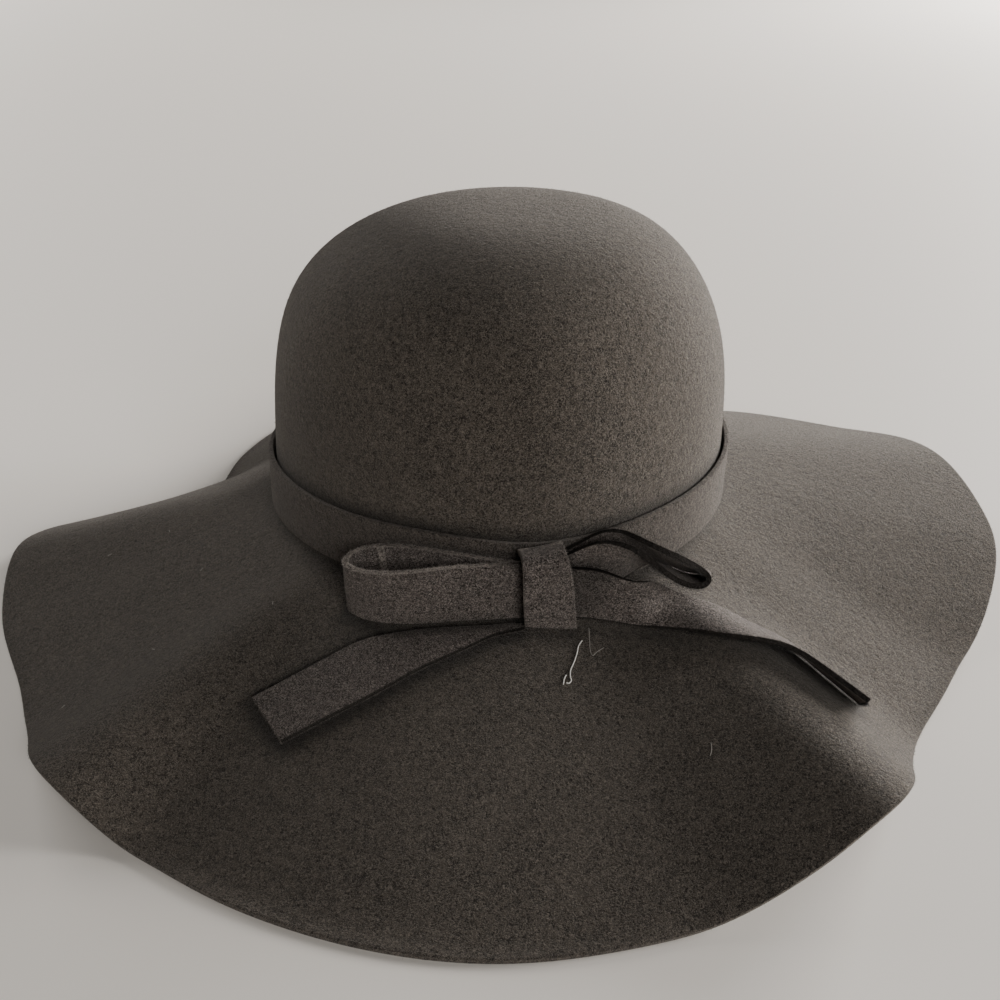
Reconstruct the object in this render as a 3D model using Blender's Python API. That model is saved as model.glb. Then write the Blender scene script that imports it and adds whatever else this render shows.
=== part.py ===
"""A floppy felt hat: a domed crown and a wide waved brim in one piece of felt, with a band and a flat bow.

Metres, +Z up, the bow towards -Y. The hat rests on its brim, on the plane z = 0, and the origin is on that
plane under the middle of the hat. Azimuths are degrees round the crown's axis, from +X towards +Y, so the
front of the hat is at -90.
"""

import math

import bpy
from mathutils import Vector

# Driving dimensions
HEAD_RADIUS = 0.0906
FELT_THICKNESS = 0.0020
CROWN_DEPTH = 0.1181
BRIM_WIDTH = 0.1270
FOOT_HEIGHT = 0.0463
FOOT_BEND = 0.0062
STRIP_WIDTH = 0.0222
STRIP_THICKNESS = 0.0020
BAND_EASE = 0.0010
BAND_LIFT = 0.0026
KNOT_WIDTH = 0.0185
CLEARANCE = 0.0005

# Colours of the felt, and its roughness
BODY_COLOUR = (0.085, 0.075, 0.066)
BAND_COLOUR = (0.072, 0.062, 0.056)
LOOP_COLOUR = (0.068, 0.058, 0.053)
TAIL_COLOUR = (0.074, 0.064, 0.058)
KNOT_COLOUR = (0.080, 0.069, 0.062)
FELT_ROUGHNESS = 0.95

# Shape of the dome: where it leaves the straight wall, how square its shoulder is, how far its top leans
SHOULDER_START = 0.21
SHOULDER_UP = 2.82
SHOULDER_OUT = 3.12
CROWN_LEAN = 0.10
LEAN_START = 12.0

# How finely the felt is divided
COLUMNS = 96
DOME_RINGS = 8
BRIM_SHARES = (1.0, 0.955, 0.87, 0.75, 0.62, 0.48, 0.35, 0.22, 0.12)
BEND_STEPS = (0.0, 0.34, 0.67)
WALL_SHARES = (0.12, 0.21)

# The folds of the brim, once round the hat. Reach is the rim's distance from the crown in plan and belly
# the rise of the middle over a straight fall, as shares of the brim's width. Height is the rim's height as a
# share of the foot's height, and a height below nothing is felt that lies flattened on the surface.
BRIM_FOLDS = (
    # azimuth, reach, height, belly
    (-90.0, 1.005, -0.05, 0.00),
    (-110.0, 0.975, -0.05, 0.00),
    (-122.0, 0.950, -0.04, 0.00),
    (-132.5, 1.000, 0.36, 0.00),
    (-142.0, 0.915, 0.07, 0.00),
    (-153.0, 0.880, -0.05, 0.00),
    (-166.0, 0.925, -0.02, 0.00),
    (-180.0, 0.955, 0.16, 0.00),
    (-192.0, 0.700, 0.04, 0.02),
    (-205.0, 0.500, -0.05, 0.05),
    (-218.0, 0.630, -0.05, 0.04),
    (-232.0, 0.780, -0.05, 0.02),
    (-246.0, 0.910, 0.08, 0.00),
    (-261.0, 0.980, 0.32, 0.00),
    (-278.0, 0.950, 0.04, 0.00),
    (-294.0, 0.930, -0.05, 0.00),
    (-310.0, 0.970, 0.16, 0.00),
    (-324.0, 1.000, 0.36, 0.00),
    (-342.0, 1.045, 0.68, 0.00),
    (-356.0, 1.045, 0.46, 0.00),
    (-8.0, 0.950, 0.17, 0.00),
    (-20.0, 0.840, -0.04, 0.00),
    (-34.0, 0.800, -0.02, 0.00),
    (-44.0, 0.870, 0.26, 0.00),
    (-52.0, 0.990, 0.54, 0.00),
    (-61.0, 0.985, 0.28, 0.00),
    (-73.0, 0.980, 0.00, 0.00),
)

# How far the corner between crown and brim rises and dips round the hat, as a share of its height.
CROWN_FOOT = (
    # azimuth, rise
    (-20.0, 0.070),
    (-50.0, 0.030),
    (-80.0, -0.055),
    (-106.0, 0.000),
    (-130.0, -0.030),
    (-155.0, -0.070),
    (-180.0, -0.140),
    (-205.0, -0.200),
    (-235.0, -0.130),
    (-270.0, -0.030),
    (-310.0, 0.050),
    (-345.0, 0.080),
)

# Soft dents and swells of the crown. Height, spread up the crown and depth are shares of the crown's depth.
CROWN_DENTS = (
    # azimuth, height, spread round, spread up, depth
    (-112.0, 0.62, 22.0, 0.16, 0.020),
    (-74.0, 0.72, 18.0, 0.16, -0.010),
    (-165.0, 0.76, 40.0, 0.16, -0.014),
)

# The bow's loops, from the knot out along the band, round the tip and back along the front, by the strip's
# upper edge. Outward is from the band's face and height above the band's lower edge, as shares of the
# strip's width. Lean is the strip's angle from hanging straight down, facing the way in which it leans, and
# spread the share of its width that isn't gathered in.
LEFT_LOOP = (
    # azimuth, outward, height, lean, facing, spread
    (-79.4, 0.085, 0.715, 0.0, 100.0, 0.88),
    (-85.6, 0.085, 0.718, 0.0, 94.0, 0.90),
    (-91.9, 0.075, 0.740, 0.0, 88.0, 0.90),
    (-99.2, 0.075, 0.756, 0.0, 80.0, 0.90),
    (-106.6, 0.085, 0.745, 0.0, 73.0, 0.90),
    (-112.6, 0.131, 0.712, 0.0, 68.0, 0.92),
    (-115.4, 0.226, 0.692, 0.0, 68.0, 0.93),
    (-117.6, 0.366, 0.668, -2.0, 70.0, 0.95),
    (-118.4, 0.520, 0.645, 2.0, 74.0, 0.97),
    (-118.5, 0.652, 0.622, 8.0, 80.0, 1.00),
    (-117.9, 0.748, 0.606, 12.0, 90.0, 1.00),
    (-117.0, 0.800, 0.592, 15.0, 100.0, 1.00),
    (-115.6, 0.815, 0.585, 14.0, 106.0, 1.00),
    (-113.5, 0.825, 0.583, 11.0, 109.0, 1.00),
    (-109.7, 0.800, 0.617, 8.0, 110.0, 1.00),
    (-103.8, 0.693, 0.697, 4.0, 112.0, 1.00),
    (-97.9, 0.502, 0.758, 1.0, 105.0, 1.00),
    (-91.5, 0.363, 0.793, 0.0, 95.0, 1.00),
    (-85.2, 0.286, 0.821, 0.0, 94.0, 1.00),
    (-79.4, 0.265, 0.825, 0.0, 100.0, 1.00),
)
RIGHT_LOOP = (
    # azimuth, outward, height, lean, facing, spread
    (-77.9, 0.087, 0.840, 0.0, 99.0, 0.92),
    (-73.0, 0.100, 0.965, 0.0, 98.0, 1.00),
    (-69.8, 0.106, 1.071, 0.0, 97.0, 1.00),
    (-67.6, 0.175, 1.155, 4.0, 95.0, 1.00),
    (-65.6, 0.310, 1.203, 12.0, 91.0, 1.00),
    (-64.2, 0.498, 1.219, 26.0, 86.0, 1.00),
    (-63.5, 0.728, 1.222, 40.0, 83.0, 1.00),
    (-62.3, 0.931, 1.185, 50.0, 82.0, 1.00),
    (-60.4, 1.100, 1.089, 51.0, 81.0, 1.00),
    (-58.1, 1.220, 0.954, 51.0, 80.0, 1.00),
    (-56.0, 1.303, 0.794, 54.0, 79.5, 1.00),
    (-54.2, 1.365, 0.639, 60.0, 79.0, 1.00),
    (-53.3, 1.427, 0.508, 63.0, 78.6, 1.00),
    (-54.2, 1.449, 0.440, 66.0, 78.7, 1.00),
    (-55.4, 1.386, 0.421, 68.0, 79.0, 1.00),
    (-56.8, 1.306, 0.458, 68.0, 79.5, 1.00),
    (-58.3, 1.221, 0.550, 67.0, 80.0, 1.00),
    (-60.3, 1.145, 0.719, 65.0, 81.0, 1.00),
    (-62.8, 1.039, 0.964, 60.0, 82.0, 1.00),
    (-64.3, 0.959, 1.102, 50.0, 82.5, 1.00),
    (-65.8, 0.837, 1.186, 36.0, 84.0, 1.00),
    (-67.3, 0.681, 1.206, 22.0, 88.0, 1.00),
    (-68.7, 0.520, 1.181, 10.0, 93.0, 1.00),
    (-70.5, 0.391, 1.121, 3.0, 97.0, 1.00),
    (-73.8, 0.271, 0.975, 0.0, 98.0, 1.00),
    (-77.9, 0.243, 0.840, 0.0, 99.0, 0.92),
)

# The bow's tails, from the knot to the cut end, by the edge nearest to the viewer. Outward is that edge's
# distance from the band's face as a share of the brim's width, lift its height over the brim as a share of
# the strip's width, tilt the strip's angle from flat, facing the way in which the strip lies from that edge,
# and spread the share of its width that isn't gathered in.
LEFT_TAIL = (
    # azimuth, outward, lift, tilt, facing, spread
    (-83.6, 0.077, 0.00, 0.0, 100.0, 0.10),
    (-89.4, 0.101, 0.00, 0.0, 110.0, 0.16),
    (-94.7, 0.154, 0.00, 0.0, 116.0, 0.40),
    (-101.6, 0.237, 0.00, 0.0, 117.0, 0.74),
    (-106.7, 0.328, 0.00, 0.0, 118.0, 1.00),
    (-111.5, 0.423, 0.00, 0.0, 120.0, 1.00),
    (-115.5, 0.520, 0.00, 0.0, 125.0, 1.00),
)
RIGHT_TAIL = (
    # azimuth, outward, lift, tilt, facing, spread
    (-75.6, 0.060, 0.16, 90.0, 102.0, 0.90),
    (-70.3, 0.086, 0.16, 90.0, 100.0, 0.90),
    (-66.3, 0.118, 0.14, 89.0, 96.0, 0.80),
    (-63.1, 0.152, 0.10, 75.0, 92.0, 0.66),
    (-59.9, 0.190, 0.06, 24.0, 90.0, 0.62),
    (-56.7, 0.256, 0.12, 0.0, 90.0, 0.68),
    (-53.9, 0.340, 0.20, -9.0, 90.0, 0.85),
    (-51.2, 0.415, 0.29, -16.0, 88.0, 1.00),
    (-47.0, 0.486, 0.37, -21.0, 84.0, 1.00),
    (-46.2, 0.595, 0.42, -24.0, 80.0, 1.00),
    (-45.5, 0.698, 0.45, -25.5, 78.0, 1.00),
)

# The knot strip, from the band's top over the bow and down its front. Outward is from the band's face and
# height above the band's lower edge, as shares of the strip's width. Slip moves it along the band, and spread
# is the share of its own width that isn't gathered in. Flare makes its right side longer than its left.
KNOT = (
    # outward, height, slip, spread
    (0.03, 0.920, -0.12, 0.86),
    (0.26, 0.950, -0.12, 0.86),
    (0.42, 0.890, -0.11, 0.88),
    (0.50, 0.690, -0.09, 0.92),
    (0.51, 0.270, -0.05, 0.98),
    (0.49, -0.215, 0.00, 1.00),
)
KNOT_AZIMUTH = -78.9
KNOT_CROWNING = 0.03
KNOT_FLARE = 0.105

# How finely the strips are divided along and across
STRIP_STEPS = 36
TAIL_STEPS = 20
KNOT_STEPS = 12
TAIL_ACROSS = 4
LOOP_ACROSS = 2
KNOT_SIDES = (0.5, 0.25, 0.0, -0.25, -0.5)

FULL_TURN = 360.0
SLOPE_STEP = 0.02
SHARP_EDGE = 50.0


def clear_scene():
    for item in list(bpy.data.objects):
        bpy.data.objects.remove(item)


def curve_through(points):
    """A smooth curve through points (place, value), level wherever they turn, so it never overshoots."""
    places = [point[0] for point in points]
    values = [point[1] for point in points]
    steps = [(two[1] - one[1]) / (two[0] - one[0]) for one, two in zip(points, points[1:])]
    slopes = [steps[0]]
    for before, after in zip(steps, steps[1:]):
        rising = before * after > 0.0
        slopes.append(2.0 * before * after / (before + after) if rising else 0.0)
    slopes.append(steps[-1])

    def value_at(place):
        index = 0
        while index < len(places) - 2 and place > places[index + 1]:
            index += 1
        span = places[index + 1] - places[index]
        share = (place - places[index]) / span
        start, end = values[index], values[index + 1]
        cubic = share * share * (3.0 - 2.0 * share)
        lean_in = share * (1.0 - share) ** 2 * span * slopes[index]
        lean_out = -share * share * (1.0 - share) * span * slopes[index + 1]
        return start + (end - start) * cubic + lean_in + lean_out

    return value_at


def curve_round(rows, column):
    """The same curve through one column of a table that goes once round the hat."""
    points = sorted((row[0] % FULL_TURN, row[column]) for row in rows)
    before = [(place - FULL_TURN, value) for place, value in points[-2:]]
    after = [(place + FULL_TURN, value) for place, value in points[:2]]
    along = curve_through(before + points + after)
    return lambda azimuth: along(azimuth % FULL_TURN)


def curve_along(rows, column):
    """The same curve through one column of a table of stations, taken by its share of the way along."""
    last = len(rows) - 1
    return curve_through([(index / last, row[column]) for index, row in enumerate(rows)])


def polar(azimuth, radius, height):
    angle = math.radians(azimuth)
    return Vector((radius * math.cos(angle), radius * math.sin(angle), height))


def facing_vector(azimuth):
    return polar(azimuth, 1.0, 0.0)


foot_rise = curve_round(CROWN_FOOT, 1)
rim_reach = curve_round(BRIM_FOLDS, 1)
rim_height = curve_round(BRIM_FOLDS, 2)
brim_belly = curve_round(BRIM_FOLDS, 3)


def foot_height(azimuth):
    """Height of the corner between crown and brim, on the felt's inner side."""
    return FOOT_HEIGHT * (1.0 + foot_rise(azimuth))


def brim_place(azimuth, share):
    """Radius and height of the brim's underside, at a share of the way from the crown to the rim."""
    radius = HEAD_RADIUS + BRIM_WIDTH * rim_reach(azimuth) * share
    foot = foot_height(azimuth)
    fall = (foot - FOOT_HEIGHT * rim_height(azimuth)) * share
    belly = 4.0 * share * (1.0 - share) * BRIM_WIDTH * brim_belly(azimuth)
    return radius, max(foot - fall + belly, 0.0)


def brim_top(x, y):
    """Height of the brim's upper side over a place in plan."""
    azimuth = math.degrees(math.atan2(y, x))
    share = (math.hypot(x, y) - HEAD_RADIUS) / (BRIM_WIDTH * rim_reach(azimuth))
    near_radius, near_height = brim_place(azimuth, share)
    far_radius, far_height = brim_place(azimuth, share + SLOPE_STEP)
    slope = (far_height - near_height) / (far_radius - near_radius)
    return near_height + FELT_THICKNESS * math.hypot(1.0, slope)


def bend_place(azimuth, step):
    """The rounded corner from the brim, at step 0, up to the crown's wall, at step 1."""
    share = FOOT_BEND / BRIM_WIDTH
    start_radius, start_height = brim_place(azimuth, share)
    foot = foot_height(azimuth)
    end_height = foot + FOOT_BEND
    radius = start_radius * (1.0 - step) ** 2 + HEAD_RADIUS * (1.0 - (1.0 - step) ** 2)
    height = start_height * (1.0 - step) ** 2 + foot * 2.0 * step * (1.0 - step) + end_height * step * step
    return radius, height


def dent_depth(azimuth, height_share):
    depth = 0.0
    for middle, height, spread_round, spread_up, dent in CROWN_DENTS:
        turn = (azimuth - middle + FULL_TURN / 2.0) % FULL_TURN - FULL_TURN / 2.0
        distance = (turn / spread_round) ** 2 + ((height_share - height) / spread_up) ** 2
        depth += dent * CROWN_DEPTH * math.exp(-distance)
    return depth


def crown_place(azimuth, height_share, radius_share):
    """A point on the crown's inner side, with its lean and its dents."""
    radius = HEAD_RADIUS * radius_share - dent_depth(azimuth, height_share) * min(1.0, radius_share * 2.0)
    foot_share = 1.0 - height_share
    rise = (foot_height(azimuth) - FOOT_HEIGHT) * foot_share * radius_share
    point = polar(azimuth, radius, FOOT_HEIGHT + CROWN_DEPTH * height_share + rise)
    point.x += HEAD_RADIUS * CROWN_LEAN * height_share ** LEAN_START
    return point


def dome_shares(ring):
    """Height and radius of one ring of the dome, as shares of the crown's depth and the head's radius."""
    angle = math.radians(90.0) * ring / (DOME_RINGS + 1)
    up = math.sin(angle) ** (2.0 / SHOULDER_UP)
    out = math.cos(angle) ** (2.0 / SHOULDER_OUT)
    return SHOULDER_START + (1.0 - SHOULDER_START) * up, out


def body_grid():
    """Rings of points on the felt's inner side, from the rim up to the top of the crown."""
    azimuths = [FULL_TURN * column / COLUMNS for column in range(COLUMNS)]
    grid = [[polar(azimuth, *brim_place(azimuth, share)) for azimuth in azimuths] for share in BRIM_SHARES]
    grid += [[polar(azimuth, *bend_place(azimuth, step)) for azimuth in azimuths] for step in BEND_STEPS]
    grid += [[crown_place(azimuth, share, 1.0) for azimuth in azimuths] for share in WALL_SHARES]
    for ring in range(1, DOME_RINGS + 1):
        height_share, radius_share = dome_shares(ring)
        grid.append([crown_place(azimuth, height_share, radius_share) for azimuth in azimuths])
    return grid


def side_normals(grid, closed, pole):
    """The felt's outward direction at each point of a grid, from its neighbours along and across."""
    normals = []
    for i, row in enumerate(grid):
        line = []
        for j in range(len(row)):
            below = grid[max(i - 1, 0)][j]
            above = grid[i + 1][j] if i + 1 < len(grid) else (pole or row[j])
            left = row[j - 1] if closed or j > 0 else row[j]
            right = row[(j + 1) % len(row)] if closed or j + 1 < len(row) else row[j]
            line.append((right - left).cross(above - below).normalized())
        normals.append(line)
    return normals


def felt_wall(name, grid, thickness, colour, closed=False, pole=None):
    """One solid of felt: a grid of points is its inner side, and its outer side lies a thickness away."""
    rows, columns = len(grid), len(grid[0])
    normals = side_normals(grid, closed, pole)
    inner = [point for row in grid for point in row]
    outer = [p + n * thickness for row, line in zip(grid, normals) for p, n in zip(row, line)]
    points = inner + outer
    shift = len(inner)
    faces = []
    for i in range(rows - 1):
        for j in range(columns if closed else columns - 1):
            k = (j + 1) % columns
            corners = (i * columns + j, i * columns + k, (i + 1) * columns + k, (i + 1) * columns + j)
            faces.append(tuple(reversed(corners)))
            faces.append(tuple(corner + shift for corner in corners))
    bottom = list(range(columns))
    top = list(reversed(range((rows - 1) * columns, rows * columns)))
    start = list(reversed(range(0, rows * columns, columns)))
    end = list(range(columns - 1, rows * columns, columns))
    if pole is not None:
        borders = [bottom + bottom[:1]]
    elif closed:
        borders = [bottom + bottom[:1], top + top[:1]]
    else:
        borders = [bottom, end, top, start]
    for border in borders:
        for one, two in zip(border, border[1:]):
            faces.append((one, two, two + shift, one + shift))
    if pole is not None:
        top = len(points)
        points += [pole, pole + Vector((0.0, 0.0, thickness))]
        for j in range(columns):
            one = (rows - 1) * columns + j
            two = (rows - 1) * columns + (j + 1) % columns
            faces.append((top, two, one))
            faces.append((one + shift, two + shift, top + 1))
    mesh = bpy.data.meshes.new(name)
    mesh.from_pydata(points, [], faces)
    mesh.shade_smooth()
    mesh.set_sharp_from_angle(angle=math.radians(SHARP_EDGE))
    mesh.materials.append(felt_material(name, colour))
    item = bpy.data.objects.new(name, mesh)
    bpy.context.scene.collection.objects.link(item)
    return item


def felt_material(name, colour):
    material = bpy.data.materials.new(name + "_felt")
    material.use_nodes = True
    shader = material.node_tree.nodes["Principled BSDF"]
    shader.inputs["Base Color"].default_value = (*colour, 1.0)
    shader.inputs["Roughness"].default_value = FELT_ROUGHNESS
    shader.inputs["Metallic"].default_value = 0.0
    return material


def band_face_radius():
    return HEAD_RADIUS + FELT_THICKNESS + BAND_EASE + STRIP_THICKNESS


def band_foot(azimuth):
    """Height of the band's lower edge, which follows the tilted foot of the crown."""
    return foot_height(azimuth) + FELT_THICKNESS + BAND_LIFT


def build_body():
    grid = body_grid()
    pole = crown_place(0.0, 1.0, 0.0)
    return felt_wall("felt_body", grid, FELT_THICKNESS, BODY_COLOUR, closed=True, pole=pole)


def build_band():
    radius = HEAD_RADIUS + FELT_THICKNESS + BAND_EASE
    azimuths = [FULL_TURN * column / COLUMNS for column in range(COLUMNS)]
    grid = []
    for height in (0.0, STRIP_WIDTH):
        grid.append([polar(azimuth, radius, band_foot(azimuth) + height) for azimuth in azimuths])
    return felt_wall("hat_band", grid, STRIP_THICKNESS, BAND_COLOUR, closed=True)


def build_loop(name, rows):
    """A strip that leaves the knot, turns round at its tip and comes back, standing on its edge."""
    columns = [curve_along(rows, column) for column in range(6)]
    azimuth_at, outward_at, height_at, lean_at, facing_at, spread_at = columns
    grid = []
    for step in range(STRIP_STEPS + 1):
        share = step / STRIP_STEPS
        azimuth = azimuth_at(share)
        radius = band_face_radius() + STRIP_WIDTH * outward_at(share)
        upper = polar(azimuth, radius, band_foot(azimuth) + STRIP_WIDTH * height_at(share))
        lean = math.radians(lean_at(share))
        across = facing_vector(facing_at(share)) * math.sin(lean) - Vector((0.0, 0.0, math.cos(lean)))
        step = across * STRIP_WIDTH * spread_at(share) / LOOP_ACROSS
        grid.append([upper + step * place for place in range(LOOP_ACROSS + 1)])
    return centred_wall(name, grid, STRIP_THICKNESS, LOOP_COLOUR)


def centred_wall(name, grid, thickness, colour):
    """A felt wall whose grid lies in the middle of its thickness."""
    normals = side_normals(grid, False, None)
    inner = [[p - n * thickness / 2.0 for p, n in zip(row, line)] for row, line in zip(grid, normals)]
    return felt_wall(name, inner, thickness, colour)


def build_tail(name, rows):
    """A strip that runs out over the brim from the knot and follows its surface."""
    columns = [curve_along(rows, column) for column in range(6)]
    azimuth_at, outward_at, lift_at, tilt_at, facing_at, spread_at = columns
    grid = []
    for step in range(TAIL_STEPS + 1):
        share = step / TAIL_STEPS
        radius = band_face_radius() + BRIM_WIDTH * outward_at(share)
        near = polar(azimuth_at(share), radius, 0.0)
        tilt = math.radians(tilt_at(share))
        facing = facing_vector(facing_at(share))
        line = []
        for place in range(TAIL_ACROSS + 1):
            width = STRIP_WIDTH * spread_at(share) * place / TAIL_ACROSS
            point = near + facing * width * math.cos(tilt)
            rise = CLEARANCE + STRIP_WIDTH * lift_at(share) + width * math.sin(tilt)
            point.z = brim_top(point.x, point.y) + rise
            line.append(point)
        if rows[-1][0] > rows[0][0]:
            line.reverse()
        grid.append(line)
    return felt_wall(name, grid, STRIP_THICKNESS, TAIL_COLOUR)


def build_knot():
    outward_at, height_at, slip_at, spread_at = (curve_along(KNOT, column) for column in range(4))
    outward = facing_vector(KNOT_AZIMUTH)
    along = facing_vector(KNOT_AZIMUTH + 90.0)
    foot = band_foot(KNOT_AZIMUTH)
    grid = []
    for step in range(KNOT_STEPS + 1):
        share = step / KNOT_STEPS
        line = []
        for side in KNOT_SIDES:
            crowning = KNOT_CROWNING * (1.0 - 4.0 * side * side)
            point = outward * (band_face_radius() + STRIP_WIDTH * (outward_at(share) + crowning))
            point += along * (KNOT_WIDTH * spread_at(share) * side + STRIP_WIDTH * slip_at(share))
            flare = KNOT_FLARE * side * (1.0 - 2.0 * share)
            point.z = foot + STRIP_WIDTH * (height_at(share) + flare)
            line.append(point)
        grid.append(line)
    return felt_wall("bow_knot", grid, STRIP_THICKNESS, KNOT_COLOUR)


def centre_on_origin(items):
    """Moves the hat in plan, so that the origin lies under the middle of its box."""
    points = [vertex.co for item in items for vertex in item.data.vertices]
    middle_x = (min(point.x for point in points) + max(point.x for point in points)) / 2.0
    middle_y = (min(point.y for point in points) + max(point.y for point in points)) / 2.0
    for item in items:
        for vertex in item.data.vertices:
            vertex.co -= Vector((middle_x, middle_y, 0.0))


clear_scene()
pieces = [
    build_body(),
    build_band(),
    build_loop("bow_loop_left", LEFT_LOOP),
    build_loop("bow_loop_right", RIGHT_LOOP),
    build_tail("bow_tail_left", LEFT_TAIL),
    build_tail("bow_tail_right", RIGHT_TAIL),
    build_knot(),
]
centre_on_origin(pieces)
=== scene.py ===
"""A floppy felt hat, dressed for its picture: soft napped felt, a felt band and a flat felt bow."""

import math

import bmesh
import bpy
import numpy as np
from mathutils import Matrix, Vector
from mathutils.bvhtree import BVHTree


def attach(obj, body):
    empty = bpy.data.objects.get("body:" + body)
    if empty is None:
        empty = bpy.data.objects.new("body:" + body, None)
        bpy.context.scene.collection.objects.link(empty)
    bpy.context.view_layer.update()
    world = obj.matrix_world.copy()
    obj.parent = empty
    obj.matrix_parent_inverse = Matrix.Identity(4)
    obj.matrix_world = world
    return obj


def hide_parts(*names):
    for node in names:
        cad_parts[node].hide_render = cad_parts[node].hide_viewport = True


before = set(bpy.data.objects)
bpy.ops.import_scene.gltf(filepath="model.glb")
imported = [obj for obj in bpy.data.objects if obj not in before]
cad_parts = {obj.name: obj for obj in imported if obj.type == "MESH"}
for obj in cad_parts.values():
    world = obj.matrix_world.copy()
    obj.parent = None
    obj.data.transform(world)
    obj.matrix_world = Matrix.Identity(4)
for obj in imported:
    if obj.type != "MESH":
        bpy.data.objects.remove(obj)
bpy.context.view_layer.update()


# The camera
# It stands in front of the hat, a little above the crown, and looks down on it. It leans very slightly to
# one side.

CAMERA_PLACE = Vector((-0.00389, -0.46887, 0.29049))
CAMERA_TARGET = Vector((-0.00389, 0.00189, 0.03723))
CAMERA_LENS = 44.304
CAMERA_ROLL = 1.598

camera_data = bpy.data.cameras.new("camera")
camera_data.lens = CAMERA_LENS
camera = bpy.data.objects.new("camera", camera_data)
bpy.context.scene.collection.objects.link(camera)
camera.location = CAMERA_PLACE
camera.rotation_euler = (CAMERA_TARGET - CAMERA_PLACE).to_track_quat("-Z", "Y").to_euler()
camera.rotation_euler.rotate_axis("Z", math.radians(CAMERA_ROLL))
bpy.context.scene.camera = camera


# The floor and the lights
# A plain pale floor in low light from two windows behind the hat and on its right. Weaker light comes from
# behind on its left and from the front.

FLOOR_SIZE = 12.0
FLOOR_COLOUR = (0.90, 0.855, 0.80, 1.0)
LIGHT_DISTANCE = 3.4
LIGHT_TARGET = Vector((0.0, 0.0, 0.06))
WINDOW_SIZE = (1.4, 0.93)
BACK_SIZE = (2.0, 1.7)
FRONT_SIZE = (1.6, 1.3)
DAYLIGHT = (1.0, 0.97, 0.935)
BACK_LIGHT = (1.0, 0.97, 0.93)
FRONT_LIGHT = (1.0, 0.975, 0.94)
ROOM_COLOUR = (0.80, 0.78, 0.75, 1.0)
ROOM_STRENGTH = 0.02

bpy.ops.mesh.primitive_plane_add(size=FLOOR_SIZE, location=(0.0, 0.0, 0.0))
floor = bpy.context.active_object
floor.name = "floor"
floor_material = bpy.data.materials.new("pale floor")
floor_material.use_nodes = True
floor_shader = floor_material.node_tree.nodes["Principled BSDF"]
floor_shader.inputs["Base Color"].default_value = FLOOR_COLOUR
floor_shader.inputs["Roughness"].default_value = 0.65
floor_shader.inputs["Specular IOR Level"].default_value = 0.25
floor.data.materials.append(floor_material)


def area_light(name, azimuth, elevation, size, power, colour):
    """A soft light of a power in watts that looks at the hat from an azimuth and an elevation in degrees."""
    data = bpy.data.lights.new(name, "AREA")
    data.shape = "RECTANGLE"
    data.size = size[0]
    data.size_y = size[1]
    data.energy = power
    data.color = colour
    lamp = bpy.data.objects.new(name, data)
    bpy.context.scene.collection.objects.link(lamp)
    turn = math.radians(azimuth)
    rise = math.radians(elevation)
    way = Vector((math.cos(rise) * math.cos(turn), math.cos(rise) * math.sin(turn), math.sin(rise)))
    lamp.location = LIGHT_TARGET + LIGHT_DISTANCE * way
    lamp.rotation_euler = (-way).to_track_quat("-Z", "Y").to_euler()
    lamp.visible_camera = False


area_light("window", azimuth=48.0, elevation=10.5, size=WINDOW_SIZE, power=190.0, colour=DAYLIGHT)
area_light("side window", azimuth=12.0, elevation=13.0, size=WINDOW_SIZE, power=150.0, colour=DAYLIGHT)
area_light("back left", azimuth=132.0, elevation=20.0, size=BACK_SIZE, power=62.0, colour=BACK_LIGHT)
area_light("front", azimuth=-70.0, elevation=24.0, size=FRONT_SIZE, power=60.0, colour=FRONT_LIGHT)

world = bpy.data.worlds.new("room")
world.use_nodes = True
room_air = world.node_tree.nodes["Background"]
room_air.inputs["Color"].default_value = ROOM_COLOUR
room_air.inputs["Strength"].default_value = ROOM_STRENGTH
bpy.context.scene.world = world


# The felt of the crown and the brim
# Blocked from one piece of wool felt: the crown is steamed over a head block and the brim is left soft, so it
# falls in folds. The nap is short, dense and a little uneven, and the rim is cut and left raw.

EDGE_ROUNDING = 0.0004
ROUNDING_STEPS = 2
ROUNDING_SHAPE = 0.6
SQUARE_FROM = math.radians(66.0)
SQUARE_TO = math.radians(108.0)
CUT_WIDTH = 0.0027
SAME_PLACE = 0.000001
QUAD_ANGLE = math.radians(40.0)
FOLD_LEVELS = 2
NAP_RELIEF = 0.0008
SHEEN_COLOUR = (0.80, 0.75, 0.70, 1.0)
# Painted shade: felt that lies close against other felt is darkened towards this near black, further on the
# side away from the light.
PAINTED_SHADE_COLOUR = (0.003, 0.0025, 0.002, 1.0)
PAINTED_SHADE_REACH = 0.0030
PAINTED_SHADOW_SHIFT = Vector((0.0008, 0.0022, 0.0012))
FIBRE_RADIUS = 0.000035
ROOT_DEPTH = 0.00035
LEANING = 0.42
NAP_LEANING = 0.75
NAP_UPRIGHT = 0.6
STEEP = 0.9
FACING = 0.1
TINY_AREA = 1e-12
UPWARDS = (0.0, 0.0, 1.0)
BOW_NODES = ("bow_loop_left", "bow_loop_right", "bow_tail_left", "bow_tail_right", "bow_knot")


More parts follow.
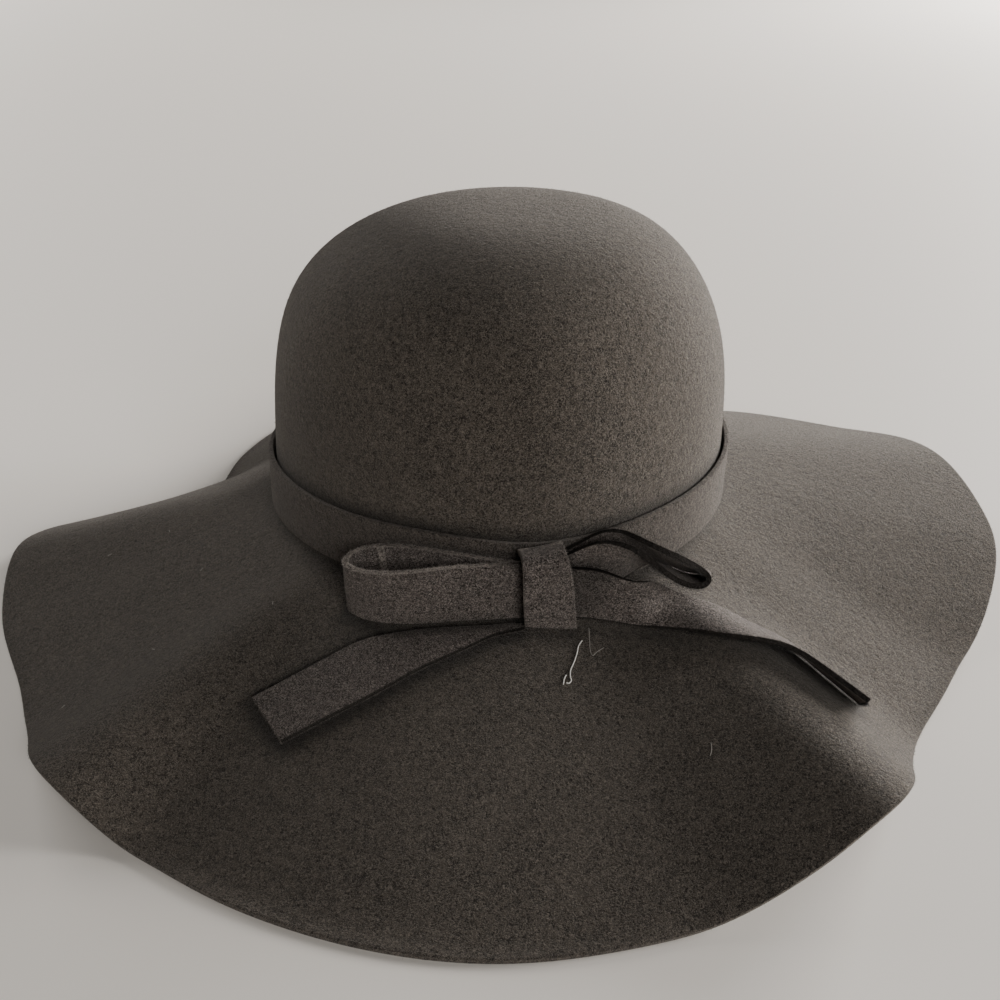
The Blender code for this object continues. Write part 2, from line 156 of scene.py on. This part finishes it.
def felt_group():
    """Node group: mottled wool nap. It puts out a colour, a bump height and a roughness."""
    group = bpy.data.node_groups.new("wool nap", "ShaderNodeTree")
    for name, kind, value in (
        ("Deep", "NodeSocketColor", (0.03, 0.03, 0.03, 1.0)),
        ("Middle", "NodeSocketColor", (0.06, 0.06, 0.06, 1.0)),
        ("Fleck", "NodeSocketColor", (0.15, 0.14, 0.13, 1.0)),
        ("Grain", "NodeSocketFloat", 900.0),
        ("Fleck Share", "NodeSocketFloat", 0.5),
    ):
        socket = group.interface.new_socket(name, in_out="INPUT", socket_type=kind)
        socket.default_value = value
    group.interface.new_socket("Color", in_out="OUTPUT", socket_type="NodeSocketColor")
    group.interface.new_socket("Height", in_out="OUTPUT", socket_type="NodeSocketFloat")
    group.interface.new_socket("Roughness", in_out="OUTPUT", socket_type="NodeSocketFloat")
    nodes = group.nodes
    links = group.links
    given = nodes.new("NodeGroupInput")
    made = nodes.new("NodeGroupOutput")
    place = nodes.new("ShaderNodeTexCoord")

    def noise(fineness, detail, rough, warp):
        """A noise that is so many times as fine as the felt's grain."""
        texture = nodes.new("ShaderNodeTexNoise")
        texture.inputs["Detail"].default_value = detail
        texture.inputs["Roughness"].default_value = rough
        texture.inputs["Distortion"].default_value = warp
        links.new(place.outputs["Object"], texture.inputs["Vector"])
        links.new(maths("MULTIPLY", given.outputs["Grain"], fineness), texture.inputs["Scale"])
        return texture.outputs["Fac"]

    def spread(value, low, high, to_low=0.0, to_high=1.0):
        """A value between low and high, stretched to another range."""
        ramp = nodes.new("ShaderNodeMapRange")
        ramp.inputs["From Min"].default_value = low
        ramp.inputs["From Max"].default_value = high
        ramp.inputs["To Min"].default_value = to_low
        ramp.inputs["To Max"].default_value = to_high
        links.new(value, ramp.inputs["Value"])
        return ramp.outputs["Result"]

    def maths(operation, one, two):
        """One sum of two sockets, or of a socket and a number."""
        node = nodes.new("ShaderNodeMath")
        node.operation = operation
        for index, value in enumerate((one, two)):
            if isinstance(value, float):
                node.inputs[index].default_value = value
            else:
                links.new(value, node.inputs[index])
        return node.outputs[0]

    def mix(share, one, two):
        """One colour where the share is 0 and the other where it is 1."""
        node = nodes.new("ShaderNodeMix")
        node.data_type = "RGBA"
        links.new(share, node.inputs["Factor"])
        links.new(one, node.inputs["A"])
        links.new(two, node.inputs["B"])
        return node.outputs["Result"]

    fibres = noise(fineness=1.0, detail=2.0, rough=0.70, warp=1.6)
    clumps = noise(fineness=0.45, detail=2.0, rough=0.60, warp=0.8)
    cloudy = noise(fineness=0.05, detail=3.0, rough=0.55, warp=0.0)
    flecks = noise(fineness=1.5, detail=1.0, rough=0.5, warp=2.5)
    fine_tone = maths("MULTIPLY", spread(fibres, 0.38, 0.62), 0.62)
    clump_tone = maths("MULTIPLY", spread(clumps, 0.32, 0.68), 0.26)
    cloud_tone = maths("MULTIPLY", spread(cloudy, 0.32, 0.68), 0.12)
    tone = maths("ADD", maths("ADD", fine_tone, clump_tone), cloud_tone)
    base = mix(spread(tone, 0.28, 0.72), given.outputs["Deep"], given.outputs["Middle"])
    bright = maths("MULTIPLY", spread(flecks, 0.54, 0.63), given.outputs["Fleck Share"])
    links.new(mix(bright, base, given.outputs["Fleck"]), made.inputs["Color"])
    height = maths("ADD", maths("MULTIPLY", fibres, 0.7), maths("MULTIPLY", clumps, 0.9))
    links.new(maths("ADD", height, maths("MULTIPLY", bright, 0.3)), made.inputs["Height"])
    links.new(spread(clumps, 0.3, 0.7, 0.82, 1.0), made.inputs["Roughness"])
    return group


wool_nap = felt_group()


def felt_material(name, deep, middle, fleck, grain, fleck_share, sheen):
    """A felt of its own colours, with the nap's relief, a soft sheen at grazing angles and painted shade
    where marked.
    """
    material = bpy.data.materials.new(name)
    material.use_nodes = True
    nodes = material.node_tree.nodes
    links = material.node_tree.links
    shader = nodes["Principled BSDF"]
    nap = nodes.new("ShaderNodeGroup")
    nap.node_tree = wool_nap
    nap.inputs["Deep"].default_value = (*deep, 1.0)
    nap.inputs["Middle"].default_value = (*middle, 1.0)
    nap.inputs["Fleck"].default_value = (*fleck, 1.0)
    nap.inputs["Grain"].default_value = grain
    nap.inputs["Fleck Share"].default_value = fleck_share
    relief = nodes.new("ShaderNodeBump")
    relief.inputs["Strength"].default_value = 1.0
    relief.inputs["Distance"].default_value = NAP_RELIEF
    # Painted shade: the share marked on the piece darkens the felt's colour towards near black.
    painted_shade_share = nodes.new("ShaderNodeAttribute")
    painted_shade_share.attribute_name = "painted_shade_share"
    painted_shade_mix = nodes.new("ShaderNodeMix")
    painted_shade_mix.data_type = "RGBA"
    painted_shade_mix.inputs["B"].default_value = PAINTED_SHADE_COLOUR
    links.new(painted_shade_share.outputs["Fac"], painted_shade_mix.inputs["Factor"])
    links.new(nap.outputs["Color"], painted_shade_mix.inputs["A"])
    links.new(painted_shade_mix.outputs["Result"], shader.inputs["Base Color"])
    links.new(nap.outputs["Roughness"], shader.inputs["Roughness"])
    links.new(nap.outputs["Height"], relief.inputs["Height"])
    links.new(relief.outputs["Normal"], shader.inputs["Normal"])
    shader.inputs["Specular IOR Level"].default_value = 0.15
    shader.inputs["Sheen Weight"].default_value = sheen
    shader.inputs["Sheen Roughness"].default_value = 0.55
    shader.inputs["Sheen Tint"].default_value = SHEEN_COLOUR
    return material


def is_cut_edge(edge):
    """True where a broad face of the felt and a cut face meet nearly square."""
    return len(edge.link_faces) == 2 and SQUARE_FROM < edge.calc_face_angle() < SQUARE_TO


def refined_felt(name, node, broad_felt, cut_felt):
    """A node's felt with its folds refined and its cut edges rounded. The cut faces have their own felt."""
    piece = bpy.data.objects.new(name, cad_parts[node].data.copy())
    bpy.context.scene.collection.objects.link(piece)
    piece.data.materials.clear()
    piece.data.materials.append(broad_felt)
    piece.data.materials.append(cut_felt)
    bpy.ops.object.select_all(action="DESELECT")
    piece.select_set(True)
    bpy.context.view_layer.objects.active = piece
    bpy.ops.object.mode_set(mode="EDIT")
    bpy.ops.mesh.select_all(action="SELECT")
    bpy.ops.mesh.remove_doubles(threshold=SAME_PLACE)
    bpy.ops.mesh.customdata_custom_splitnormals_clear()
    bpy.ops.mesh.tris_convert_to_quads(face_threshold=QUAD_ANGLE, shape_threshold=QUAD_ANGLE)
    shell = bmesh.from_edit_mesh(piece.data)
    creases = shell.edges.layers.float.new("crease_edge")
    for edge in shell.edges:
        edge[creases] = 1.0 if is_cut_edge(edge) else 0.0
    for face in shell.faces:
        square = [edge for edge in face.edges if is_cut_edge(edge)]
        narrow = min(edge.calc_length() for edge in face.edges) < CUT_WIDTH
        face.material_index = 1 if narrow and len(square) > 1 else 0
    bmesh.update_edit_mesh(piece.data)
    bpy.ops.object.mode_set(mode="OBJECT")
    smoother = piece.modifiers.new("refine", "SUBSURF")
    smoother.levels = FOLD_LEVELS
    smoother.render_levels = FOLD_LEVELS
    bpy.ops.object.modifier_apply(modifier="refine")
    bpy.ops.object.mode_set(mode="EDIT")
    bpy.ops.mesh.select_mode(type="EDGE")
    bpy.ops.mesh.select_all(action="DESELECT")
    shell = bmesh.from_edit_mesh(piece.data)
    for edge in shell.edges:
        edge.select_set(is_cut_edge(edge))
    bmesh.update_edit_mesh(piece.data)
    bpy.ops.mesh.bevel(
        offset=EDGE_ROUNDING,
        segments=ROUNDING_STEPS,
        profile=ROUNDING_SHAPE,
        affect="EDGES",
        clamp_overlap=True,
    )
    bpy.ops.object.mode_set(mode="OBJECT")
    bpy.ops.object.shade_smooth()
    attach(piece, "root")
    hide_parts(node)
    return piece


def surface_tree(mesh):
    """The faces of a mesh, for finding the nearest place on them."""
    corners = [vertex.co for vertex in mesh.vertices]
    return BVHTree.FromPolygons(corners, [face.vertices[:] for face in mesh.polygons])


def paint_contact_shade(piece, nodes, depth):
    """Paints shade into the piece where other felt lies close against it, reaching further on the side away
    from the light.
    """
    trees = [surface_tree(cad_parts[node].data) for node in nodes]
    farthest = 4.0 * PAINTED_SHADE_REACH
    shades = []
    for vertex in piece.data.vertices:
        places = (vertex.co, vertex.co + PAINTED_SHADOW_SHIFT)
        found = [tree.find_nearest(place, farthest)[3] for tree in trees for place in places]
        near = [distance for distance in found if distance is not None]
        shades.append(depth * math.exp(-((min(near) / PAINTED_SHADE_REACH) ** 2)) if near else 0.0)
    piece.data.attributes.new("painted_shade_share", "FLOAT", "POINT").data.foreach_set("value", shades)


def cut_edges(node):
    """The cut edges of a node's felt, each with its two ends and the way in which it looks outwards."""
    shell = bmesh.new()
    shell.from_mesh(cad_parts[node].data)
    bmesh.ops.remove_doubles(shell, verts=shell.verts, dist=SAME_PLACE)
    edges = []
    for edge in shell.edges:
        if is_cut_edge(edge):
            outward = (edge.link_faces[0].normal + edge.link_faces[1].normal).normalized()
            edges.append((edge.verts[0].co[:], edge.verts[1].co[:], outward[:]))
    shell.free()
    return edges


def directions_near(chance, outward, freedom):
    """Directions that lean at random away from the ones given."""
    loose = outward + freedom * chance.normal(size=outward.shape)
    return loose / np.linalg.norm(loose, axis=1, keepdims=True)


def wool_fibres(name, roots, directions, lengths, material):
    """Fine loose fibres in one mesh, each a closed spike with three sides. None reaches below the floor."""
    upright = np.where(np.abs(directions[:, 2:]) < STEEP, (0.0, 0.0, 1.0), (1.0, 0.0, 0.0))
    side = np.cross(upright, directions)
    side /= np.linalg.norm(side, axis=1, keepdims=True)
    other = np.cross(directions, side)
    corners = []
    for turn in (0.0, 120.0, 240.0):
        angle = math.radians(turn)
        corners.append(roots + FIBRE_RADIUS * (math.cos(angle) * side + math.sin(angle) * other))
    points = np.stack(corners + [roots + directions * lengths[:, None]], axis=1)
    points = points[points[:, :, 2].min(axis=1) > 0.0]
    starts = 4 * np.arange(len(points))[:, None, None]
    faces = starts + np.array(((0, 1, 3), (1, 2, 3), (2, 0, 3), (0, 2, 1)))
    mesh = bpy.data.meshes.new(name)
    mesh.from_pydata(points.reshape(-1, 3).tolist(), [], faces.reshape(-1, 3).tolist())
    mesh.materials.append(material)
    piece = bpy.data.objects.new(name, mesh)
    bpy.context.scene.collection.objects.link(piece)
    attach(piece, "root")
    return piece


def edge_fibres(name, piece, node, way, density, length, seed, material):
    """The fibres on a piece's cut edges that look one way, so many to a metre of edge and up to a length."""
    chance = np.random.default_rng(seed)
    edges = np.array(cut_edges(node))
    edges = edges[edges[:, 2] @ np.array(way) > FACING]
    start, end, outward = edges[:, 0], edges[:, 1], edges[:, 2]
    runs = np.linalg.norm(end - start, axis=1)
    count = int(density * runs.sum())
    chosen = chance.choice(len(runs), size=count, p=runs / runs.sum())
    along = chance.random((count, 1))
    surface = surface_tree(piece.data)
    straight = start[chosen] * (1.0 - along) + end[chosen] * along
    settled = np.array([surface.find_nearest(Vector(root))[0] for root in straight])
    roots = settled - outward[chosen] * ROOT_DEPTH
    directions = directions_near(chance, outward[chosen], LEANING)
    lengths = length * chance.uniform(0.35, 1.0, count)
    return wool_fibres(name, roots, directions, lengths, material)


def nap_fibres(name, piece, count, length, seed, material):
    """The fibres that stand out of a piece's outer side, where they soften its outline."""
    chance = np.random.default_rng(seed)
    mesh = piece.data
    mesh.calc_loop_triangles()
    places = np.array([vertex.co[:] for vertex in mesh.vertices])
    corners = places[np.array([triangle.vertices[:] for triangle in mesh.loop_triangles])]
    across = np.cross(corners[:, 1] - corners[:, 0], corners[:, 2] - corners[:, 0])
    areas = np.linalg.norm(across, axis=1)
    normals = across / np.maximum(areas, TINY_AREA)[:, None]
    radial = corners.mean(axis=1) * (1.0, 1.0, 0.0)
    radial /= np.linalg.norm(radial, axis=1, keepdims=True)
    outer = normals[:, 2] + (normals * radial).sum(axis=1) > 0.0
    weights = areas * outer
    chosen = chance.choice(len(weights), size=count, p=weights / weights.sum())
    one, two = chance.random((2, count, 1))
    turned = one + two > 1.0
    one, two = np.where(turned, 1.0 - one, one), np.where(turned, 1.0 - two, two)
    spots = corners[chosen]
    roots = spots[:, 0] + one * (spots[:, 1] - spots[:, 0]) + two * (spots[:, 2] - spots[:, 0])
    directions = directions_near(chance, NAP_UPRIGHT * normals[chosen], NAP_LEANING)
    lengths = length * chance.uniform(0.4, 1.0, count)
    return wool_fibres(name, roots, directions, lengths, material)


def fibre_material(name, colour):
    """Single wool fibres in a colour that is a little uneven, matt and without the felt's relief."""
    material = bpy.data.materials.new(name)
    material.use_nodes = True
    nodes = material.node_tree.nodes
    links = material.node_tree.links
    shader = nodes["Principled BSDF"]
    place = nodes.new("ShaderNodeTexCoord")
    patches = nodes.new("ShaderNodeTexNoise")
    patches.inputs["Scale"].default_value = 700.0
    tones = nodes.new("ShaderNodeValToRGB")
    tones.color_ramp.elements[0].position = 0.35
    tones.color_ramp.elements[0].color = (*(0.45 * part for part in colour), 1.0)
    tones.color_ramp.elements[1].position = 0.65
    tones.color_ramp.elements[1].color = (*colour, 1.0)
    links.new(place.outputs["Object"], patches.inputs["Vector"])
    links.new(patches.outputs["Fac"], tones.inputs["Fac"])
    links.new(tones.outputs["Color"], shader.inputs["Base Color"])
    shader.inputs["Roughness"].default_value = 0.7
    shader.inputs["Specular IOR Level"].default_value = 0.2
    return material


hat_felt = felt_material(
    "charcoal wool felt",
    deep=(0.0105, 0.0082, 0.0066),
    middle=(0.070, 0.0585, 0.0480),
    fleck=(0.25, 0.217, 0.182),
    grain=800.0,
    fleck_share=0.50,
    sheen=0.25,
)
felt_hat = refined_felt("felt_hat", "felt_body", hat_felt, hat_felt)
# Painted shade on the crown and brim close round the band and the bow.
paint_contact_shade(felt_hat, ("hat_band",) + BOW_NODES, depth=0.9)

hat_fibre = fibre_material("loose grey wool", (0.15, 0.135, 0.12))
rim_fibres = edge_fibres(
    "rim_fibres", felt_hat, "felt_body", UPWARDS, density=7000.0, length=0.0011, seed=11, material=hat_fibre
)
outline_fibres = nap_fibres("nap_fibres", felt_hat, count=42000, length=0.0012, seed=12, material=hat_fibre)


# The band
# A flat strip cut from the same kind of felt. It is laid round the foot of the crown, and its ends are joined
# behind the bow and sewn down there.

band_felt = felt_material(
    "band felt",
    deep=(0.0090, 0.0072, 0.0060),
    middle=(0.062, 0.0510, 0.0435),
    fleck=(0.24, 0.205, 0.178),
    grain=850.0,
    fleck_share=0.50,
    sheen=0.25,
)
felt_band = refined_felt("felt_band", "hat_band", band_felt, band_felt)
# Painted shade on the band close round the bow.
paint_contact_shade(felt_band, BOW_NODES, depth=0.5)

trim_fibre = fibre_material("loose brown wool", (0.22, 0.195, 0.175))
band_fibres = edge_fibres(
    "band_fibres", felt_band, "hat_band", UPWARDS, density=6000.0, length=0.0008, seed=21, material=trim_fibre
)


# The bow
# Two loops and two square-cut tails of the band's own strip, gathered at the middle by a short strip that is
# wrapped round them and sewn to the band. Their cut edges are raw, with loose fibres standing out.

LEFT_LOOP_LENGTH = 0.147
RIGHT_LOOP_LENGTH = 0.140
LEFT_TAIL_LENGTH = 0.098
RIGHT_TAIL_LENGTH = 0.131
STRIP_FIBRES = 14000.0
# Density and length of the near-black fibres that hang from lower cut edges as painted shade.
SHADE_FIBRES = 24000.0
STRIP_FIBRE_LENGTH = 0.0013
KNOT_FIBRE_LENGTH = 0.0012
SHADE_FIBRE_LENGTH = 0.0022
FIRST_STRIP_SEED = 31
BOW_PAINTED_SHADE = 0.75

DOWNWARDS = (0.0, 0.0, -1.0)
TOWARDS_VIEWER = (0.0, -1.0, 0.0)
TOWARDS_RIGHT = (1.0, 0.0, 0.0)

bow_felt = felt_material(
    "bow felt",
    deep=(0.0105, 0.0084, 0.0076),
    middle=(0.086, 0.0705, 0.0640),
    fleck=(0.32, 0.275, 0.250),
    grain=850.0,
    fleck_share=0.8,
    sheen=0.25,
)
# Lit and shaded copies of the bow's felt for its cut faces: painted shade for the edges turned from the
# light, and painted light below for the edges that catch it.
painted_shade_cut = felt_material(
    "cut edge with painted shade",
    deep=(0.004, 0.0035, 0.003),
    middle=(0.022, 0.019, 0.017),
    fleck=(0.10, 0.088, 0.08),
    grain=1000.0,
    fleck_share=0.4,
    sheen=0.0,
)
painted_light_cut = felt_material(
    "cut edge with painted light",
    deep=(0.06, 0.052, 0.046),
    middle=(0.32, 0.28, 0.25),
    fleck=(0.52, 0.47, 0.42),
    grain=1000.0,
    fleck_share=0.6,
    sheen=0.0,
)
# Lit and shaded copies of the loose fibres: pale ones as painted light on the lit loop and knot edges, dark
# ones as painted shade on the right loop and right tail.
painted_light_fibre = fibre_material("loose wool with painted light", (0.62, 0.56, 0.51))
painted_shade_fibre = fibre_material("loose wool with painted shade", (0.07, 0.06, 0.054))
# Near-black fibres that stand in for painted shade in the right loop's fold and under the right tail.
painted_shadow_fibre = fibre_material("near-black fibres as painted shade", (0.010, 0.009, 0.008))

BOW_STRIPS = (
    # piece, node, length, how it is held, felt of its cut faces (painted light on the left loop, painted
    # shade on the others), side of its loose fibres, their wool (painted light on the left loop, painted
    # shade on the right loop and right tail)
    ("felt_loop_left", "bow_loop_left", LEFT_LOOP_LENGTH, "folded", painted_light_cut, UPWARDS, painted_light_fibre),
    ("felt_loop_right", "bow_loop_right", RIGHT_LOOP_LENGTH, "folded", painted_shade_cut, UPWARDS, painted_shade_fibre),
    ("felt_tail_left", "bow_tail_left", LEFT_TAIL_LENGTH, "laid", painted_shade_cut, TOWARDS_VIEWER, trim_fibre),
    ("felt_tail_right", "bow_tail_right", RIGHT_TAIL_LENGTH, "laid", painted_shade_cut, TOWARDS_VIEWER, painted_shade_fibre),
)
strips = {}
for count, (strip_name, node, strip_length, held, cut_felt, way, wool) in enumerate(BOW_STRIPS):
    strip = refined_felt(strip_name, node, bow_felt, cut_felt)
    strips[node] = strip
    # Painted shade on each strip where the other parts of the bow lie against it.
    paint_contact_shade(strip, [other for other in BOW_NODES if other != node], BOW_PAINTED_SHADE)
    seed = FIRST_STRIP_SEED + count
    strip_fibres = edge_fibres(
        strip_name + "_fibres", strip, node, way, STRIP_FIBRES, STRIP_FIBRE_LENGTH, seed, wool
    )

# Painted shade: near-black fibres hang from the lower cut edges of the right loop and the right tail,
# darkening the loop's opening and the gap under the tail.
for fibres_name, node, seed in (
    ("felt_fold_shade_fibres", "bow_loop_right", 40),
    ("felt_under_shade_fibres", "bow_tail_right", 42),
):
    shade_fibres = edge_fibres(
        fibres_name, strips[node], node, DOWNWARDS, SHADE_FIBRES, SHADE_FIBRE_LENGTH, seed, painted_shadow_fibre
    )

# The knot's cut faces carry painted light.
felt_knot = refined_felt("felt_knot", "bow_knot", bow_felt, painted_light_cut)
# The loose fibres on the knot's right edge are pale with painted light.
knot_fibres = edge_fibres(
    "felt_knot_fibres", felt_knot, "bow_knot", TOWARDS_RIGHT, STRIP_FIBRES, KNOT_FIBRE_LENGTH, 41, painted_light_fibre
)


# The loose threads
# A short end of white sewing thread, left where the knot was sewn down, and a hair, both lying on the brim.
# A few bits of pale lint cling to the felt.

THREAD_RADIUS = 0.00025
HAIR_RADIUS = 0.00012
LINT_RADIUS = 0.00016
LINT_LENGTH = 0.0016
LINT_BEND = 0.2
ABOVE_HAT = 0.3
THREAD_ORDER = 3
THREAD_STEPS = 6
THREAD_RELIEF = 0.0001

THREAD_ROUTES = (
    ((0.0268, -0.1054), (0.0253, -0.1073), (0.0249, -0.1106), (0.0235, -0.1149), (0.0223, -0.1175),
     (0.0222, -0.1205), (0.0228, -0.1214), (0.0218, -0.1230), (0.0209, -0.1226)),
    ((0.0209, -0.1196), (0.0200, -0.1206), (0.0198, -0.1234)),
)
HAIR_ROUTES = (
    ((0.0294, -0.1000), (0.0295, -0.1036), (0.0295, -0.1093), (0.0304, -0.1116), (0.0315, -0.1098),
     (0.0345, -0.1079)),
    ((0.0686, -0.1452), (0.0689, -0.1477), (0.0679, -0.1496)),
)
LINT_PLACES = (
    # x, y, direction in degrees
    (-0.1691, -0.0234, 20.0),
    (-0.1224, -0.0513, 75.0),
    (-0.1299, -0.0959, 140.0),
    (-0.0865, -0.0886, 95.0),
    (-0.1601, -0.1148, 60.0),
    (-0.1436, -0.0169, 110.0),
)


def loose_threads(name, routes, radius, material):
    """Short threads lying on the felt, each through a few places in plan."""
    curve = bpy.data.curves.new(name, "CURVE")
    curve.dimensions = "3D"
    curve.bevel_depth = radius
    curve.bevel_resolution = 1
    curve.use_fill_caps = True
    for route in routes:
        line = curve.splines.new("NURBS")
        line.points.add(len(route) - 1)
        line.use_endpoint_u = True
        line.order_u = THREAD_ORDER
        line.resolution_u = THREAD_STEPS
        for point, (x, y) in zip(line.points, route):
            place, normal = felt_hat.ray_cast((x, y, ABOVE_HAT), DOWNWARDS)[1:3]
            point.co = (*(place + normal * radius), 1.0)
    piece = bpy.data.objects.new(name, curve)
    bpy.context.scene.collection.objects.link(piece)
    bpy.ops.object.select_all(action="DESELECT")
    piece.select_set(True)
    bpy.context.view_layer.objects.active = piece
    bpy.ops.object.convert(target="MESH")
    piece = bpy.context.active_object
    bpy.ops.object.shade_smooth()
    piece.data.materials.clear()
    piece.data.materials.append(material)
    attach(piece, "root")


def lint_route(x, y, direction):
    """A short bent bit of lint that starts at a place and lies in a direction in degrees."""
    turn = math.radians(direction)
    along_x = LINT_LENGTH * math.cos(turn)
    along_y = LINT_LENGTH * math.sin(turn)
    middle = (x + along_x * 0.5 - along_y * LINT_BEND, y + along_y * 0.5 + along_x * LINT_BEND)
    return (x, y), middle, (x + along_x, y + along_y)


def thread_material(name, colour):
    """Thread and hair, with a fine uneven surface in a colour that is a little uneven."""
    material = bpy.data.materials.new(name)
    material.use_nodes = True
    nodes = material.node_tree.nodes
    links = material.node_tree.links
    shader = nodes["Principled BSDF"]
    place = nodes.new("ShaderNodeTexCoord")
    unevenness = nodes.new("ShaderNodeTexNoise")
    unevenness.inputs["Scale"].default_value = 2500.0
    tones = nodes.new("ShaderNodeValToRGB")
    tones.color_ramp.elements[0].color = (*(0.6 * part for part in colour), 1.0)
    tones.color_ramp.elements[1].color = (*colour, 1.0)
    relief = nodes.new("ShaderNodeBump")
    relief.inputs["Strength"].default_value = 0.5
    relief.inputs["Distance"].default_value = THREAD_RELIEF
    links.new(place.outputs["Object"], unevenness.inputs["Vector"])
    links.new(unevenness.outputs["Fac"], tones.inputs["Fac"])
    links.new(tones.outputs["Color"], shader.inputs["Base Color"])
    links.new(unevenness.outputs["Fac"], relief.inputs["Height"])
    links.new(relief.outputs["Normal"], shader.inputs["Normal"])
    shader.inputs["Roughness"].default_value = 0.8
    return material


bpy.context.view_layer.update()
white_cotton = thread_material("white cotton", (0.80, 0.78, 0.74))
grey_hair = thread_material("fine grey fibre", (0.42, 0.39, 0.36))
loose_threads("sewing_thread_end", THREAD_ROUTES, THREAD_RADIUS, white_cotton)
loose_threads("loose_hair", HAIR_ROUTES, HAIR_RADIUS, grey_hair)
loose_threads("lint", [lint_route(*row) for row in LINT_PLACES], LINT_RADIUS, grey_hair)
